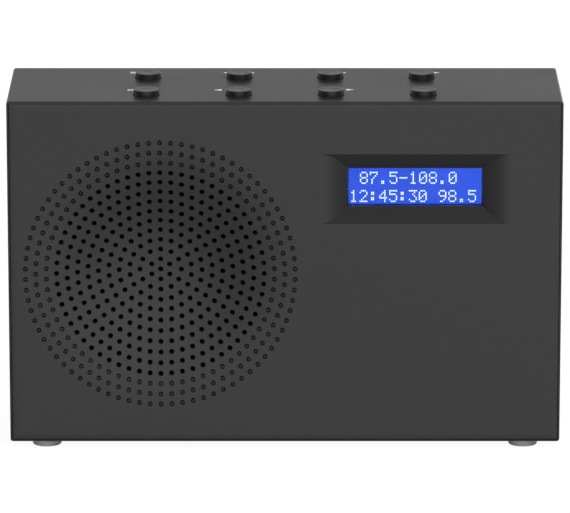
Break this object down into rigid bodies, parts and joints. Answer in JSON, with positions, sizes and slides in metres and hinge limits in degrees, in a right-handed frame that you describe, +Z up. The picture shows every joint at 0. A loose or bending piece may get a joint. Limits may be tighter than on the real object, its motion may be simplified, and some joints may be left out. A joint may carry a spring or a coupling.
{
  "type": "tabletop radio",
  "caption": "Box-shaped tabletop radio with a dished, perforated speaker grille, sunken lit display, round top push buttons, rubber feet, rear battery door and telescopic aerial.",
  "frame": {"origin": "centre of the whole radio's footprint, on the surface that its feet stand on", "axes": "+X to the right seen from the front, +Y to the rear, +Z up"},
  "size_m": [0.23, 0.0746, 0.1517],
  "materials": {
    "cabinet": "finely textured dark grey moulding",
    "button": "satin dark grey moulding",
    "inner_plastic": "plain black moulding",
    "foot": "matt grey rubber",
    "gasket": "foam",
    "board": "green solder resist",
    "frame_metal": "satin black",
    "steel": "zinc plated",
    "ferrite": "ground ferrite",
    "paper": "pressed black paper",
    "copper": "bright",
    "lens": "clear window",
    "display": "lit blue",
    "backlight": "white diffuser",
    "capacitor": "sleeved can",
    "aerial": "bright plated tube"
  },
  "bodies": {
    "cabinet": {"cabinet_sleeve": "cabinet", "front_panel": "cabinet", "rear_cover": "cabinet", "aerial_rest": "cabinet", "key_switches": "inner_plastic", "battery_box": "inner_plastic", "headphone_socket": "inner_plastic", "power_inlet": "inner_plastic", "rubber_feet": "foot", "speaker_gasket": "gasket", "key_board": "board", "display_board": "board", "main_board": "board", "jack_board": "board", "speaker_basket": "frame_metal", "speaker_top_plate": "steel", "speaker_yoke": "steel", "cover_screws": "steel", "inner_screws": "steel", "battery_springs": "steel", "battery_contacts": "steel", "tuner_shield": "steel", "speaker_magnet": "ferrite", "speaker_cone": "paper", "speaker_surround": "paper", "speaker_spider": "paper", "speaker_dust_cap": "paper", "speaker_voice_coil": "copper", "power_inlet_pin": "copper", "display_lens": "lens", "display_glass": "display", "display_backlight": "backlight", "board_capacitors": "capacitor"},
    "power_button": {"power_button": "button", "power_plunger": "inner_plastic"},
    "left_arrow_button": {"left_arrow_button": "button", "left_arrow_plunger": "inner_plastic"},
    "right_arrow_button": {"right_arrow_button": "button", "right_arrow_plunger": "inner_plastic"},
    "select_button": {"select_button": "button", "select_plunger": "inner_plastic"},
    "menu_button": {"menu_button": "button", "menu_plunger": "inner_plastic"},
    "mode_button": {"mode_button": "button", "mode_plunger": "inner_plastic"},
    "preset_button": {"preset_button": "button", "preset_plunger": "inner_plastic"},
    "scan_button": {"scan_button": "button", "scan_plunger": "inner_plastic"},
    "battery_door": {"battery_door": "cabinet"},
    "aerial_base": {"aerial_base": "aerial", "aerial_retainer": "aerial", "aerial_elbow_pin": "aerial"},
    "aerial_elbow": {"aerial_elbow": "aerial", "aerial_section_1": "aerial"},
    "aerial_section_2": {"aerial_section_2": "aerial"},
    "aerial_section_3": {"aerial_section_3": "aerial"},
    "aerial_section_4": {"aerial_section_4": "aerial"},
    "aerial_section_5": {"aerial_section_5": "aerial"}
  },
  "joints": [
    {"name": "power_press", "type": "slide", "parent": "cabinet", "child": "power_button", "axis": [0, 0, -1], "range_m": [0, 0.0008], "stiffness_N_per_m": 800, "springref_m": -0.0008},
    {"name": "left_arrow_press", "type": "slide", "parent": "cabinet", "child": "left_arrow_button", "axis": [0, 0, -1], "range_m": [0, 0.0008], "stiffness_N_per_m": 800, "springref_m": -0.0008},
    {"name": "right_arrow_press", "type": "slide", "parent": "cabinet", "child": "right_arrow_button", "axis": [0, 0, -1], "range_m": [0, 0.0008], "stiffness_N_per_m": 800, "springref_m": -0.0008},
    {"name": "select_press", "type": "slide", "parent": "cabinet", "child": "select_button", "axis": [0, 0, -1], "range_m": [0, 0.0008], "stiffness_N_per_m": 800, "springref_m": -0.0008},
    {"name": "menu_press", "type": "slide", "parent": "cabinet", "child": "menu_button", "axis": [0, 0, -1], "range_m": [0, 0.0008], "stiffness_N_per_m": 800, "springref_m": -0.0008},
    {"name": "mode_press", "type": "slide", "parent": "cabinet", "child": "mode_button", "axis": [0, 0, -1], "range_m": [0, 0.0008], "stiffness_N_per_m": 800, "springref_m": -0.0008},
    {"name": "preset_press", "type": "slide", "parent": "cabinet", "child": "preset_button", "axis": [0, 0, -1], "range_m": [0, 0.0008], "stiffness_N_per_m": 800, "springref_m": -0.0008},
    {"name": "scan_press", "type": "slide", "parent": "cabinet", "child": "scan_button", "axis": [0, 0, -1], "range_m": [0, 0.0008], "stiffness_N_per_m": 800, "springref_m": -0.0008},
    {"name": "battery_door_hinge", "type": "hinge", "parent": "cabinet", "child": "battery_door", "pos_m": [0.054, 0.02655, 0.03195], "axis": [-1, 0, 0], "range_deg": [0, 90]},
    {"name": "aerial_swivel", "type": "hinge", "parent": "cabinet", "child": "aerial_base", "pos_m": [0.096, 0.03385, 0.1323], "axis": [0, 1, 0], "range_deg": [0, 180]},
    {"name": "aerial_tilt", "type": "hinge", "parent": "aerial_base", "child": "aerial_elbow", "pos_m": [0.096, 0.03385, 0.1323], "axis": [0, 0, -1], "range_deg": [0, 90]},
    {"name": "aerial_section_2_slide", "type": "slide", "parent": "aerial_elbow", "child": "aerial_section_2", "axis": [-1, 0, 0], "range_m": [0, 0.125]},
    {"name": "aerial_section_3_slide", "type": "slide", "parent": "aerial_section_2", "child": "aerial_section_3", "axis": [-1, 0, 0], "range_m": [0, 0.125]},
    {"name": "aerial_section_4_slide", "type": "slide", "parent": "aerial_section_3", "child": "aerial_section_4", "axis": [-1, 0, 0], "range_m": [0, 0.125]},
    {"name": "aerial_section_5_slide", "type": "slide", "parent": "aerial_section_4", "child": "aerial_section_5", "axis": [-1, 0, 0], "range_m": [0, 0.125]}
  ]
}
